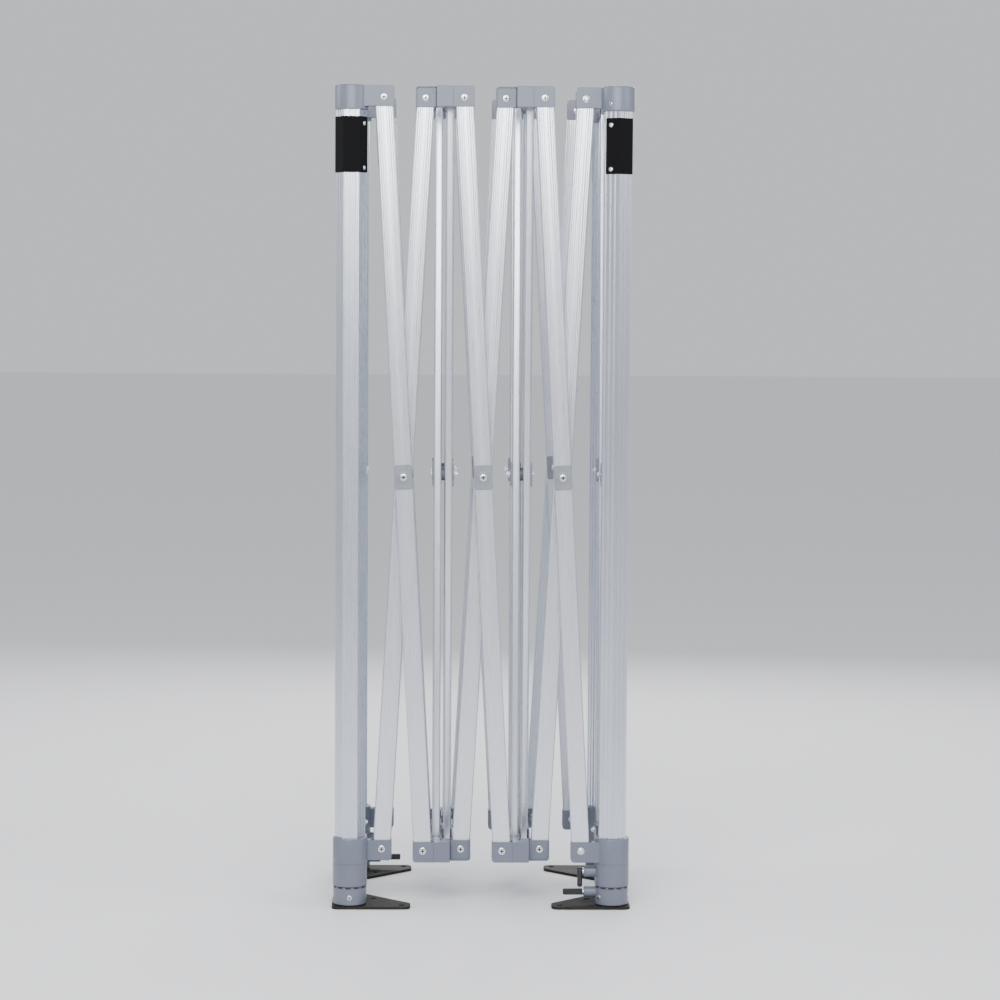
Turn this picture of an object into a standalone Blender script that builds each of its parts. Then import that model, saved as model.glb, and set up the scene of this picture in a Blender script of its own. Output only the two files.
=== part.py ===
"""A folding tent frame, folded: four hexagonal telescopic legs joined by scissor trusses.

X runs along the long side, Y into the depth and Z up, in metres. The origin is on the floor, under the
middle of the folded frame. In each truss an outer bar falls to the right and an inner bar rises to the
right, as seen from outside, and every connector, cap and slider holds its bars between two cheeks.
"""

import math

import bmesh
import bpy
from mathutils import Matrix, Vector

# ---------------------------------------------------------------- overall sizes
HEIGHT = 1.550                 # floor to the top of the leg caps
FOLDED_SPAN = 0.078            # between the two ends of a folded scissor, pivot to pivot
LONG_SCISSORS = 3
SHORT_SCISSORS = 2

# ---------------------------------------------------------------- legs
LEG_FLATS = 0.050              # hexagon of the outer leg, across its flats
LEG_WALL = 0.002
LEG_PLAY = 0.0005              # between the inner and the outer leg, on each side
INNER_LEG_TOP = 1.050          # top of the inner leg above the floor, folded
FIT_GAP = 0.0004               # between a leg and what is fitted round it
STACK_GAP = 0.0006             # between pieces that rest on each other

# ---------------------------------------------------------------- bars and pivots
BAR_WIDTH = 0.034
BAR_THICKNESS = 0.015
BAR_WALL = 0.0015
BAR_EDGE = BAR_WALL            # chamfer along the bar, which leaves metal over the inner corner
BAR_END = 0.009                # pivot to the end of the bar
BAR_SPACING = 0.006            # between the outer and the inner bar
SIDE_PLAY = 0.0003             # between a bar and a cheek
END_PLAY = 0.0003              # between a bar's corner, as it swings, and the web
PIN_RADIUS = 0.003
PIN_PLAY = 0.0006
PIN_SIDES = 6
BAR_SWEEP = math.hypot(BAR_WIDTH / 2, BAR_END)      # pivot to the farthest corner of a bar's end
HOLE_RADIUS = PIN_RADIUS + PIN_PLAY

# ---------------------------------------------------------------- castings
CAP_WALL = 0.0022              # over the corners of the leg, where a sleeve is thinnest
CAP_HEIGHT = 0.046
CAP_ROOF = 0.004
CAP_HEAD = 0.023               # pivot to the top of the cap
SLIDER_WALL = 0.0032
SLIDER_HEIGHT = 0.092
SLIDER_HEAD = 0.024            # pivot to the top of the slider
COLLAR_WALL = 0.0026
COLLAR_HEIGHT = 0.0345
BOSS_RADIUS = 0.0105           # round the pull pins
BOSS_LENGTH = 0.0205           # how far a boss stands out of the slider
SLIDER_BOSS = 0.026            # height of the boss above the slider's lower end
COLLAR_BOSS = 0.022            # height of the boss above the collar's lower end

PIVOT_PAIR = 0.072             # between the two pivots of a connector
CHEEK = 0.0027                 # wall beside a bar
WEB = 0.0025                   # wall that closes an arm
ARM_NECK = 0.0070              # between a slider and the slots in its arms
ARM_CORNER = 0.006
PIVOT_TO_WEB = BAR_SWEEP + END_PLAY
PIVOT_TO_LIP = BAR_WIDTH / 2   # pivot to the open edge of an arm
ARM_END = BAR_SWEEP            # pivot to the end of an arm
POST_GAP = BAR_SWEEP + 0.0013  # pivot to the solid middle of a casting

SLEEVE_CORNER = LEG_FLATS / math.sqrt(3) + FIT_GAP
CAP_RADIUS = SLEEVE_CORNER + CAP_WALL
SLIDER_RADIUS = SLEEVE_CORNER + SLIDER_WALL
COLLAR_RADIUS = LEG_FLATS / math.sqrt(3) + COLLAR_WALL
BOSS_REACH = SLIDER_RADIUS + BOSS_LENGTH            # leg axis to the end of a boss
ARM_REACH = SLIDER_RADIUS + ARM_NECK + POST_GAP     # leg axis to the first pivot

# ---------------------------------------------------------------- foot
PLATE_THICKNESS = 0.005
PLATE_MARGIN = 0.0025          # the plate's two outer edges, past the collar
PLATE_HEEL = COLLAR_RADIUS + PLATE_MARGIN
PLATE_REACH = 0.115            # leg axis to the tips of the plate
PLATE_TIP = 0.038              # width of a blunt tip
PLATE_CORNER = 0.013
PEG_HOLE = 0.0055              # radius
PEG_INSET = 0.016              # tip hole to the plate's edges
PEG_DIAGONAL = 0.044           # middle hole from the leg axis, along X and along Y

# ---------------------------------------------------------------- worked out from the sizes
COLLAR_BOTTOM = PLATE_THICKNESS + 2 * STACK_GAP
SLIDER_BOTTOM = COLLAR_BOTTOM + COLLAR_HEIGHT + STACK_GAP
LOWER_PIVOT = SLIDER_BOTTOM + SLIDER_HEIGHT - SLIDER_HEAD
UPPER_PIVOT = HEIGHT - CAP_HEAD
BAR_PIVOTS = math.hypot(FOLDED_SPAN, UPPER_PIVOT - LOWER_PIVOT)
BAR_TILT = math.atan2(FOLDED_SPAN, UPPER_PIVOT - LOWER_PIVOT)
BAR_OFFSET = (BAR_SPACING + BAR_THICKNESS) / 2
ARM_INNER = BAR_SPACING / 2 - SIDE_PLAY - CHEEK
ARM_OUTER = BAR_SPACING / 2 + BAR_THICKNESS + SIDE_PLAY + CHEEK
BAY = FOLDED_SPAN + PIVOT_PAIR
WIDTH = 2 * ARM_REACH + LONG_SCISSORS * BAY - PIVOT_PAIR
DEPTH = 2 * ARM_REACH + SHORT_SCISSORS * BAY - PIVOT_PAIR
HALF_PAIR = PIVOT_PAIR / 2
ROUND_SIDES = 24
PAST = 0.002                   # how far a cutter runs past what it cuts


def clear_scene():
    for old in list(bpy.data.objects):
        bpy.data.objects.remove(old)


def finish(name, colour, roughness, metallic):
    material = bpy.data.materials.new(name)
    material.use_nodes = True
    shader = material.node_tree.nodes["Principled BSDF"]
    shader.inputs["Base Color"].default_value = (*colour, 1)
    shader.inputs["Roughness"].default_value = roughness
    shader.inputs["Metallic"].default_value = metallic
    return material


# ---------------------------------------------------------------- shapes
def ring(radius, sides, turn=0.0):
    """Points of a regular polygon round the origin."""
    steps = [turn + math.tau * i / sides for i in range(sides)]
    return [(radius * math.cos(a), radius * math.sin(a)) for a in steps]


def hexagon(flats):
    """A hexagon with corners at +X and -X, and flats that face +Y and -Y."""
    return ring(flats / math.sqrt(3), 6)


def prism(outline, low, high):
    """The outline in X and Y, carried from height low to height high."""
    bm = bmesh.new()
    base = bm.faces.new([bm.verts.new((x, y, low)) for x, y in outline])
    side = bmesh.ops.extrude_face_region(bm, geom=[base])
    raised = [v for v in side["geom"] if isinstance(v, bmesh.types.BMVert)]
    bmesh.ops.translate(bm, verts=raised, vec=(0, 0, high - low))
    bmesh.ops.recalc_face_normals(bm, faces=bm.faces)
    return bm


def box(low, high):
    outline = [(low[0], low[1]), (high[0], low[1]), (high[0], high[1]), (low[0], high[1])]
    return prism(outline, low[2], high[2])


def rod(start, end, radius, sides=PIN_SIDES):
    """A round bar from start to end, flat side up."""
    start, end = Vector(start), Vector(end)
    bm = prism(ring(radius, sides, math.pi / sides), 0, (end - start).length)
    turn = (end - start).to_track_quat("Z", "Y").to_matrix().to_4x4()
    bmesh.ops.transform(bm, matrix=Matrix.Translation(start) @ turn, verts=bm.verts)
    return bm


def round_edges(bm, chosen, radius, steps=2):
    edges = [e for e in bm.edges if chosen(*(v.co for v in e.verts))]
    bmesh.ops.bevel(bm, geom=edges, offset=radius, segments=steps, profile=0.5, affect="EDGES")
    return bm


def helper(bm):
    mesh = bpy.data.meshes.new("shape")
    bm.to_mesh(mesh)
    bm.free()
    made = bpy.data.objects.new("shape", mesh)
    bpy.context.scene.collection.objects.link(made)
    return made


def carved(name, base, *steps):
    """One mesh: the base shape, then each (operation, shape) step as an exact Boolean."""
    body = helper(base)
    tools = [body]
    for operation, shape in steps:
        tool = helper(shape)
        tool.hide_render = True
        tool.display_type = "WIRE"
        tools.append(tool)
        modifier = body.modifiers.new(operation, "BOOLEAN")
        modifier.operation = operation
        modifier.object = tool
    graph = bpy.context.evaluated_depsgraph_get()
    mesh = bpy.data.meshes.new_from_object(body.evaluated_get(graph))
    mesh.name = name
    mesh.set_sharp_from_angle(angle=math.radians(35))
    for tool in tools:
        bpy.data.objects.remove(tool)
    return mesh


# ---------------------------------------------------------------- bars
def bar_mesh(name, with_pin):
    """A hollow flat bar along Z with its pivot holes. The outer bar holds the centre pin, at +Y."""
    half_width, half_thickness = BAR_WIDTH / 2, BAR_THICKNESS / 2
    half_length = BAR_PIVOTS / 2 + BAR_END
    outline = []
    for x, y, first in ((1, -1, "y"), (1, 1, "x"), (-1, 1, "y"), (-1, -1, "x")):
        along_x = (x * (half_width - BAR_EDGE), y * half_thickness)
        along_y = (x * half_width, y * (half_thickness - BAR_EDGE))
        outline += [along_x, along_y] if first == "y" else [along_y, along_x]
    inside_x, inside_y = half_width - BAR_WALL, half_thickness - BAR_WALL
    steps = [
        (
            "DIFFERENCE",
            box(
                (-inside_x, -inside_y, -half_length - PAST),
                (inside_x, inside_y, half_length + PAST),
            ),
        )
    ]
    holes = [-BAR_PIVOTS / 2, BAR_PIVOTS / 2]
    if not with_pin:
        holes.append(0)
    for z in holes:
        through = half_thickness + PAST
        steps.append(("DIFFERENCE", rod((0, -through, z), (0, through, z), HOLE_RADIUS)))
    if with_pin:
        far_end = half_thickness + BAR_SPACING + BAR_THICKNESS + 4 * SIDE_PLAY
        pin = rod((0, -inside_y - BAR_WALL / 2, 0), (0, far_end, 0), PIN_RADIUS)
        steps.append(("UNION", pin))
    return carved(name, prism(outline, -half_length, half_length), *steps)


# ---------------------------------------------------------------- arms
def arm_box(start, end, side, low, high):
    """The outside of an arm along +X on one side of the truss: side -1 holds the outer bar, 1 the inner."""
    near, far = sorted((side * ARM_INNER, side * ARM_OUTER))
    return box((start, near, low), (end, far, high))


def arm_channel(pivot, side):
    """What an arm along +X is cut out by. It is open below, at its end, and closed by the web on top."""
    near, far = sorted((side * (ARM_INNER + CHEEK), side * (ARM_OUTER - CHEEK)))
    low = (pivot - POST_GAP, near, -PIVOT_TO_LIP - PAST)
    high = (pivot + ARM_END + PAST, far, PIVOT_TO_WEB)
    return box(low, high)


def arm_pin(pivot, side):
    near, far = sorted((side * (ARM_INNER + CHEEK / 2), side * (ARM_OUTER - CHEEK / 2)))
    return rod((pivot, near, 0), (pivot, far, 0), PIN_RADIUS)


def turned(bm, matrix):
    bmesh.ops.transform(bm, matrix=matrix, verts=bm.verts)
    if matrix.determinant() < 0:
        bmesh.ops.reverse_faces(bm, faces=bm.faces)
    return bm


TO_LEFT = Matrix.Diagonal((-1, 1, 1, 1))
TO_BACK = Matrix.Rotation(math.pi / 2, 4, "Z")
UPSIDE_DOWN = Matrix.Diagonal((1, 1, -1, 1))


# ---------------------------------------------------------------- connectors
def connector_mesh(name, with_back_arm):
    """An upper connector round its own pivot height. Its left arm holds an inner bar, its right arm an
    outer one, and the back arm of a three-way connector holds a bar of the truss that crosses behind."""
    end = HALF_PAIR + ARM_END
    post = HALF_PAIR - POST_GAP
    top = PIVOT_TO_WEB + WEB
    outline = [(-end, ARM_INNER), (-post, ARM_INNER), (-post, -ARM_OUTER), (end, -ARM_OUTER)]
    outline += [(end, -ARM_INNER), (post, -ARM_INNER), (post, ARM_OUTER), (-end, ARM_OUTER)]
    if with_back_arm:
        back_end = ARM_REACH + ARM_END
        outline[5:7] = [(ARM_OUTER, -ARM_INNER), (ARM_OUTER, back_end)]
        outline[7:7] = [(ARM_INNER, back_end), (ARM_INNER, ARM_OUTER)]
    body = prism(outline, -PIVOT_TO_LIP, top)

    def outer_top_edge(a, b):
        level = min(a.z, b.z) > top - PAST
        at_side = min(abs(a.x), abs(b.x)) > end - PAST and abs(a.x - b.x) < PAST
        return level and at_side

    round_edges(body, outer_top_edge, ARM_CORNER)
    steps = [
        ("DIFFERENCE", arm_channel(HALF_PAIR, -1)),
        ("DIFFERENCE", turned(arm_channel(HALF_PAIR, 1), TO_LEFT)),
        ("UNION", arm_pin(HALF_PAIR, -1)),
        ("UNION", turned(arm_pin(HALF_PAIR, 1), TO_LEFT)),
    ]
    if with_back_arm:
        steps.append(("DIFFERENCE", turned(arm_channel(ARM_REACH, -1), TO_BACK)))
        steps.append(("UNION", turned(arm_pin(ARM_REACH, -1), TO_BACK)))
    return carved(name, body, *steps)


# ---------------------------------------------------------------- cap, slider and legs
def corner_arms(first_side, flip):
    """(outsides, channels, pins) of a corner casting's two arms, along +X and along +Y."""
    start = LEG_FLATS / 3
    end = ARM_REACH + ARM_END
    low, high = -PIVOT_TO_LIP, PIVOT_TO_WEB + WEB
    outsides, channels, pins = [], [], []
    for side, turn in ((first_side, Matrix()), (first_side, TO_BACK)):
        outside = arm_box(start, end, side, low, high)
        outsides.append(turned(outside, flip @ turn))
        channels.append(turned(arm_channel(ARM_REACH, side), flip @ turn))
        pins.append(turned(arm_pin(ARM_REACH, side), flip @ turn))
    return outsides, channels, pins


def cap_mesh():
    """The cap round its pivot height: a cup over the leg, with two arms that hold bars' upper ends."""
    outsides, channels, pins = corner_arms(-1, Matrix())
    roof = CAP_HEAD - CAP_ROOF
    pocket = prism(hexagon(LEG_FLATS + 2 * FIT_GAP), CAP_HEAD - CAP_HEIGHT - PAST, roof)
    steps = [("UNION", shape) for shape in outsides]
    steps.append(("DIFFERENCE", pocket))
    steps += [("DIFFERENCE", shape) for shape in channels]
    steps += [("UNION", shape) for shape in pins]
    cup = prism(ring(CAP_RADIUS, ROUND_SIDES), CAP_HEAD - CAP_HEIGHT, CAP_HEAD)
    return carved("cap", cup, *steps)


def slider_mesh():
    """The slider round its pivot height: a sleeve on the leg, with two arms and a boss for its pull pin."""
    outsides, channels, pins = corner_arms(1, UPSIDE_DOWN)
    low = SLIDER_HEAD - SLIDER_HEIGHT
    bore = prism(hexagon(LEG_FLATS + 2 * FIT_GAP), low - PAST, SLIDER_HEAD + PAST)
    boss_height = low + SLIDER_BOSS
    boss = rod((0, SLIDER_RADIUS / 2, boss_height), (0, BOSS_REACH, boss_height), BOSS_RADIUS, 12)
    steps = [("UNION", shape) for shape in outsides]
    steps.append(("UNION", boss))
    steps.append(("DIFFERENCE", bore))
    steps += [("DIFFERENCE", shape) for shape in channels]
    steps += [("UNION", shape) for shape in pins]
    return carved("slider", prism(ring(SLIDER_RADIUS, ROUND_SIDES), low, SLIDER_HEAD), *steps)


def outer_leg_mesh():
    """The hexagonal tube with the collar and pull-pin boss at its lower end."""
    top = HEIGHT - CAP_ROOF - STACK_GAP
    collar_top = COLLAR_BOTTOM + COLLAR_HEIGHT
    boss_height = COLLAR_BOTTOM + COLLAR_BOSS
    collar = prism(ring(COLLAR_RADIUS, ROUND_SIDES), COLLAR_BOTTOM, collar_top)
    tube = prism(hexagon(LEG_FLATS), COLLAR_BOTTOM + LEG_WALL, top)
    boss = rod((0, COLLAR_RADIUS / 2, boss_height), (0, BOSS_REACH, boss_height), BOSS_RADIUS, 12)
    bore = prism(hexagon(LEG_FLATS - 2 * LEG_WALL), COLLAR_BOTTOM - PAST, top + PAST)
    return carved("leg tube", collar, ("UNION", tube), ("UNION", boss), ("DIFFERENCE", bore))


def plate_outline():
    """A right triangle with blunt, rounded tips: the corner is outside the leg, the tips run along X and Y."""
    low, tip = -PLATE_HEEL, PLATE_REACH
    inner = low + PLATE_TIP
    corners = [(low, low), (tip, low), (tip, inner), (inner, tip), (low, tip)]
    points = []
    for i, corner in enumerate(corners):
        here = Vector(corner)
        back = (Vector(corners[i - 1]) - here).normalized()
        ahead = (Vector(corners[(i + 1) % len(corners)]) - here).normalized()
        half = back.angle(ahead) / 2
        centre = here + (back + ahead).normalized() * PLATE_CORNER / math.sin(half)
        sweep = math.pi / 2 - half
        middle = math.atan2(here.y - centre.y, here.x - centre.x)
        for share in (-1, 0, 1):
            angle = middle + share * sweep
            points.append(tuple(centre + PLATE_CORNER * Vector((math.cos(angle), math.sin(angle)))))
    return points


def inner_leg_mesh():
    """The inner leg, welded to its triangular foot plate with three peg holes."""
    flats = LEG_FLATS - 2 * LEG_WALL - 2 * LEG_PLAY
    tube = prism(hexagon(flats), PLATE_THICKNESS / 2, INNER_LEG_TOP)
    hollow = prism(hexagon(flats - 2 * LEG_WALL), PLATE_THICKNESS, INNER_LEG_TOP + PAST)
    tip, edge = PLATE_REACH - PEG_INSET, -PLATE_HEEL + PEG_INSET
    steps = [("UNION", tube), ("DIFFERENCE", hollow)]
    for x, y in ((tip, edge), (edge, tip), (PEG_DIAGONAL, PEG_DIAGONAL)):
        hole = rod((x, y, -PAST), (x, y, PLATE_THICKNESS + PAST), PEG_HOLE, 12)
        steps.append(("DIFFERENCE", hole))
    return carved("inner leg", prism(plate_outline(), 0, PLATE_THICKNESS), *steps)


# ---------------------------------------------------------------- placing
def place(name, mesh, material, position, turn, joint=None):
    """One piece. Its parent is an empty on the axis of the joint that the piece moves about."""
    piece = bpy.data.objects.new(name, mesh)
    axis = bpy.data.objects.new(name + "_joint", None)
    axis.location = position if joint is None else joint
    axis.empty_display_size = ARM_REACH
    piece.parent = axis
    piece.location = Vector(position) - axis.location
    piece.rotation_euler = turn.to_euler()
    if not mesh.materials:
        mesh.materials.append(material)
    for made in (axis, piece):
        bpy.context.scene.collection.objects.link(made)
    return piece


def spin(degrees):
    return Matrix.Rotation(math.radians(degrees), 3, "Z")


FLIPPED = Matrix.Rotation(math.pi, 3, "Y")
HALF_W, HALF_D = WIDTH / 2, DEPTH / 2
COLUMN = HALF_W - ARM_REACH - FOLDED_SPAN - HALF_PAIR
SILVER = (0.62, 0.64, 0.68)
GREY = (0.27, 0.30, 0.35)
OLIVE = (0.035, 0.035, 0.032)

# Truss name, the turn of its frame, where its mid-plane starts, and how many scissors it has.
TRUSSES = (
    ("front", 0, (-HALF_W, -HALF_D), LONG_SCISSORS),
    ("right", 90, (HALF_W, -HALF_D), SHORT_SCISSORS),
    ("rear", 180, (HALF_W, HALF_D), LONG_SCISSORS),
    ("left", 270, (-HALF_W, HALF_D), SHORT_SCISSORS),
    ("cross_1", 270, (-COLUMN, HALF_D), SHORT_SCISSORS),
    ("cross_2", 90, (COLUMN, -HALF_D), SHORT_SCISSORS),
)
CORNERS = (
    ("front_left", 0, (-HALF_W, -HALF_D)),
    ("front_right", 90, (HALF_W, -HALF_D)),
    ("rear_right", 180, (HALF_W, HALF_D)),
    ("rear_left", 270, (-HALF_W, HALF_D)),
)


def place_truss(name, turn, start, scissors, meshes, finishes):
    """The bars and the connectors of one truss, from its left end to its right end."""
    frame = spin(turn)
    origin = Vector((*start, 0))
    middle_height = (UPPER_PIVOT + LOWER_PIVOT) / 2
    for k in range(scissors):
        left = ARM_REACH + k * BAY
        middle = left + FOLDED_SPAN / 2
        for which, side in (("outer", -1), ("inner", 1)):
            tilt = Matrix.Rotation(side * BAR_TILT, 3, "Y")
            centre = origin + frame @ Vector((middle, side * BAR_OFFSET, middle_height))
            upper_end = centre + frame @ tilt @ Vector((0, 0, BAR_PIVOTS / 2))
            bar = f"{name}_bar_{k + 1}_{which}"
            place(bar, meshes[which], finishes["bar"], centre, frame @ tilt, upper_end)
        if k == scissors - 1:
            continue
        across = left + FOLDED_SPAN + HALF_PAIR
        kind = "three_way" if scissors == LONG_SCISSORS else "straight"
        for level, height, flip in (("top", UPPER_PIVOT, Matrix.Identity(3)), ("bottom", LOWER_PIVOT, FLIPPED)):
            at = origin + frame @ Vector((across, 0, height))
            piece = f"{name}_{level}_connector_{k + 1}"
            place(piece, meshes[kind], finishes["connector"], at, frame @ flip)


def place_corner(name, turn, at, meshes, finishes):
    frame = spin(turn)
    upper, lower = Vector((*at, UPPER_PIVOT)), Vector((*at, LOWER_PIVOT))
    place(f"{name}_cap", meshes["cap"], finishes["cap"], upper, frame)
    place(f"{name}_slider", meshes["slider"], finishes["slider"], lower, frame)
    place(f"{name}_leg", meshes["leg"], finishes["leg"], Vector((*at, 0)), frame)
    place(f"{name}_inner_leg", meshes["inner_leg"], finishes["foot"], Vector((*at, 0)), frame)


def main():
    clear_scene()
    finishes = {
        "bar": finish("bar aluminium", SILVER, 0.35, 0.85),
        "leg": finish("leg aluminium", SILVER, 0.30, 0.90),
        "connector": finish("connector grey", GREY, 0.45, 0.30),
        "cap": finish("cap grey", GREY, 0.40, 0.30),
        "slider": finish("slider grey", GREY, 0.40, 0.30),
        "foot": finish("foot steel", OLIVE, 0.55, 0.60),
    }
    meshes = {
        "outer": bar_mesh("outer bar", True),
        "inner": bar_mesh("inner bar", False),
        "three_way": connector_mesh("three-way connector", True),
        "straight": connector_mesh("straight connector", False),
        "cap": cap_mesh(),
        "slider": slider_mesh(),
        "leg": outer_leg_mesh(),
        "inner_leg": inner_leg_mesh(),
    }
    for truss in TRUSSES:
        place_truss(*truss, meshes, finishes)
    for corner in CORNERS:
        place_corner(*corner, meshes, finishes)


main()
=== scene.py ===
# %% [markdown]
# # A folded tent frame
# The finished picture of a heavy pop-up tent frame, standing folded on its four feet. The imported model
# gives every piece's place and how it moves. This file adds the surfaces that the plain solids don't have:
# fluted tubes, rounded castings, screws, pads, pull pins and the finishes of metal and plastic.

import bpy
import numpy as np
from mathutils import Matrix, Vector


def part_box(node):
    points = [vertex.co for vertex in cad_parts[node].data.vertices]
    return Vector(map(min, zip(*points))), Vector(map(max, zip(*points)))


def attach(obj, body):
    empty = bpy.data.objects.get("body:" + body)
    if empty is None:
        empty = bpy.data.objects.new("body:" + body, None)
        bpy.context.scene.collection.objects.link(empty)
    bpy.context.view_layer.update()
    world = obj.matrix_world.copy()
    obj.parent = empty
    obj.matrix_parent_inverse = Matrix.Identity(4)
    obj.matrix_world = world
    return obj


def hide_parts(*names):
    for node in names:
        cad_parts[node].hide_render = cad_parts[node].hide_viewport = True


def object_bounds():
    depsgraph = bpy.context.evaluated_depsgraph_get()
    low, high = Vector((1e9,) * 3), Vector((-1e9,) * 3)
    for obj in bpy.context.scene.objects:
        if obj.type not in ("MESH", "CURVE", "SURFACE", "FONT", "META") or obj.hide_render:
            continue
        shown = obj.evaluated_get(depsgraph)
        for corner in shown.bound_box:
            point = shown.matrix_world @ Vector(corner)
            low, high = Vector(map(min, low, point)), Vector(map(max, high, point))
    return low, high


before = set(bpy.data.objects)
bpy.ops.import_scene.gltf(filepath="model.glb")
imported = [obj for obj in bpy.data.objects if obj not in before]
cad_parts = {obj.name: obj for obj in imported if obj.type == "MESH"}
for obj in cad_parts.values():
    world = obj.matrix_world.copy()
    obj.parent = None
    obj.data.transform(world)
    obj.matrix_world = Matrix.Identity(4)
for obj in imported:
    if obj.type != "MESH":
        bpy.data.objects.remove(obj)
cad_bounds = [list(map(float, corner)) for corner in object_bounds()]
low, high = np.array(cad_bounds)
print("the frame's box in metres:", np.round(high - low, 3))

# %% [markdown]
# ## The sizes the surfaces are built on
# Everything stands in a few straight trusses, so a piece needs only its place along its truss. The leg axes
# lie a foot plate's heel inside the box, and the pivots' heights come from the box's top and the slider.

# %% Sizes, in metres
PLATE_HEEL = 0.034
LEG_FLATS = 0.050
CAP_HEAD = 0.023
SLIDER_HEAD = 0.024
ARM_REACH = 0.060
PIVOT_PAIR = 0.072
ARM_END = 0.019
POST_GAP = 0.0205
POST = PIVOT_PAIR / 2 - POST_GAP
CHEEK = 0.0027
WEB = 0.0025
ARM_DEPTH = 0.021
WEB_TOP = 0.022
LIP = 0.017
ARM_CORNER = 0.0065
BAR_WIDTH = 0.034
BAR_THICKNESS = 0.015
BAR_SPACING = 0.006
BAR_OFFSET = (BAR_THICKNESS + BAR_SPACING) / 2
BAR_END = 0.009
SLEEVE_PLAY = 0.0008
COLLAR_PRESS = 0.0002
BOSS_RADIUS, BOSS_START, BOSS_END = 0.0105, 0.016, 0.053

half_w, half_d = high[0] - PLATE_HEEL, high[1] - PLATE_HEEL
upper_pivot = high[2] - CAP_HEAD
lower_pivot = float(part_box("front_left_slider")[1][2]) - SLIDER_HEAD
folded_span = (2 * half_w - 2 * ARM_REACH - 2 * PIVOT_PAIR) / 3
bay = folded_span + PIVOT_PAIR
column = half_w - ARM_REACH - folded_span - PIVOT_PAIR / 2
bar_pivots = float(np.hypot(folded_span, upper_pivot - lower_pivot))
bar_tilt = float(np.arctan2(folded_span, upper_pivot - lower_pivot))
print("pivot heights:", round(lower_pivot, 4), round(upper_pivot, 4))
print("between a bar's pivots:", round(bar_pivots, 4))

TRUSSES = {
    "front": (0, (-half_w, -half_d), 3),
    "right": (90, (half_w, -half_d), 2),
    "rear": (180, (half_w, half_d), 3),
    "left": (270, (-half_w, half_d), 2),
    "cross_1": (270, (-column, half_d), 2),
    "cross_2": (90, (column, -half_d), 2),
}
CORNERS = {
    "front_left": (0, (-half_w, -half_d)),
    "front_right": (90, (half_w, -half_d)),
    "rear_right": (180, (half_w, half_d)),
    "rear_left": (270, (-half_w, half_d)),
}

# %% [markdown]
# ## Shapes as arrays
# A shape here is a pair: an array of points and a list of faces. Most pieces are a closed outline carried
# through a few levels, so one function makes a grid of points, and its faces follow from the grid alone.

# %% Moving and joining shapes


def moved(shape, matrix):
    """The shape with each point multiplied by a 4 by 4 matrix. A mirroring one turns the faces round."""
    points, faces = shape
    placed = points @ matrix[:3, :3].T + matrix[:3, 3]
    if np.linalg.det(matrix[:3, :3]) < 0:
        faces = [face[::-1] for face in faces]
    return placed, faces


def joined(shapes):
    """Several shapes as one, with each shape's faces counted on from the points before it."""
    points, faces, start = [], [], 0
    for some, more in shapes:
        points.append(some)
        faces += [tuple(index + start for index in face) for face in more]
        start += len(some)
    return np.concatenate(points), faces


def shift(x=0.0, y=0.0, z=0.0):
    matrix = np.eye(4)
    matrix[:3, 3] = x, y, z
    return matrix


def turn(axis, degrees):
    """Rotation about X, Y or Z: cosines on the diagonal of the other two axes, sines across it."""
    angle = np.radians(degrees)
    first, second = [(1, 2), (2, 0), (0, 1)]["XYZ".index(axis)]
    matrix = np.eye(4)
    matrix[first, first] = matrix[second, second] = np.cos(angle)
    matrix[second, first], matrix[first, second] = np.sin(angle), -np.sin(angle)
    return matrix


STAND = turn("X", 90)          # Z to -Y: an upright plate from a flat outline
FLIP = turn("Y", 180)          # a lower casting is an upper one turned over
TO_BACK = turn("Z", 90)
TO_LEFT = np.diag([-1.0, 1.0, 1.0, 1.0])
UPSIDE_DOWN = np.diag([1.0, 1.0, -1.0, 1.0])

# %% Grids, plates and turned pieces


def skin(points, wrap=False):
    """Quads over a (levels, around, 3) grid, and from its last level back to its first where it wraps."""
    levels, around = points.shape[:2]
    index = np.arange(levels * around).reshape(levels, around)
    if wrap:
        index = np.vstack([index, index[:1]])
    ahead = np.roll(index, -1, axis=1)
    quads = np.stack([index[:-1], ahead[:-1], ahead[1:], index[1:]], axis=-1).reshape(-1, 4)
    return points.reshape(-1, 3), [tuple(quad) for quad in quads.tolist()]


def rings(points):
    """A closed skin from a (levels, around, 3) grid: quads between levels, one flat face at each end."""
    placed, faces = skin(points)
    around = points.shape[1]
    first, last = range(around), range(len(placed) - around, len(placed))
    return placed, [*faces, tuple(reversed(first)), tuple(last)]


def anticlockwise(outline):
    x, y = outline.T
    area = np.sum(x * np.roll(y, -1) - np.roll(x, -1) * y)
    return outline if area > 0 else outline[::-1]


def inset(outline, distance):
    """Each point moved inwards along the mean of its two edges' normals, so both edges move by distance."""
    ahead = np.roll(outline, -1, axis=0) - outline
    ahead /= np.linalg.norm(ahead, axis=1, keepdims=True)
    behind = np.roll(ahead, 1, axis=0)
    normal = np.stack([-ahead[:, 1] - behind[:, 1], ahead[:, 0] + behind[:, 0]], axis=1)
    sharpness = np.maximum(1 + np.sum(ahead * behind, axis=1), 0.3)
    return outline + distance * normal / sharpness[:, None]


def plate(outline, bottom, top, edge=0.0006):
    """An outline in X and Y carried from bottom to top, with its two rims cut back at 45 degrees."""
    outline = anticlockwise(np.asarray(outline, float))
    levels = [(bottom, edge), (bottom + edge, 0), (top - edge, 0), (top, edge)]
    grid = [np.column_stack([inset(outline, cut), np.full(len(outline), z)]) for z, cut in levels]
    return rings(np.array(grid))


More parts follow.
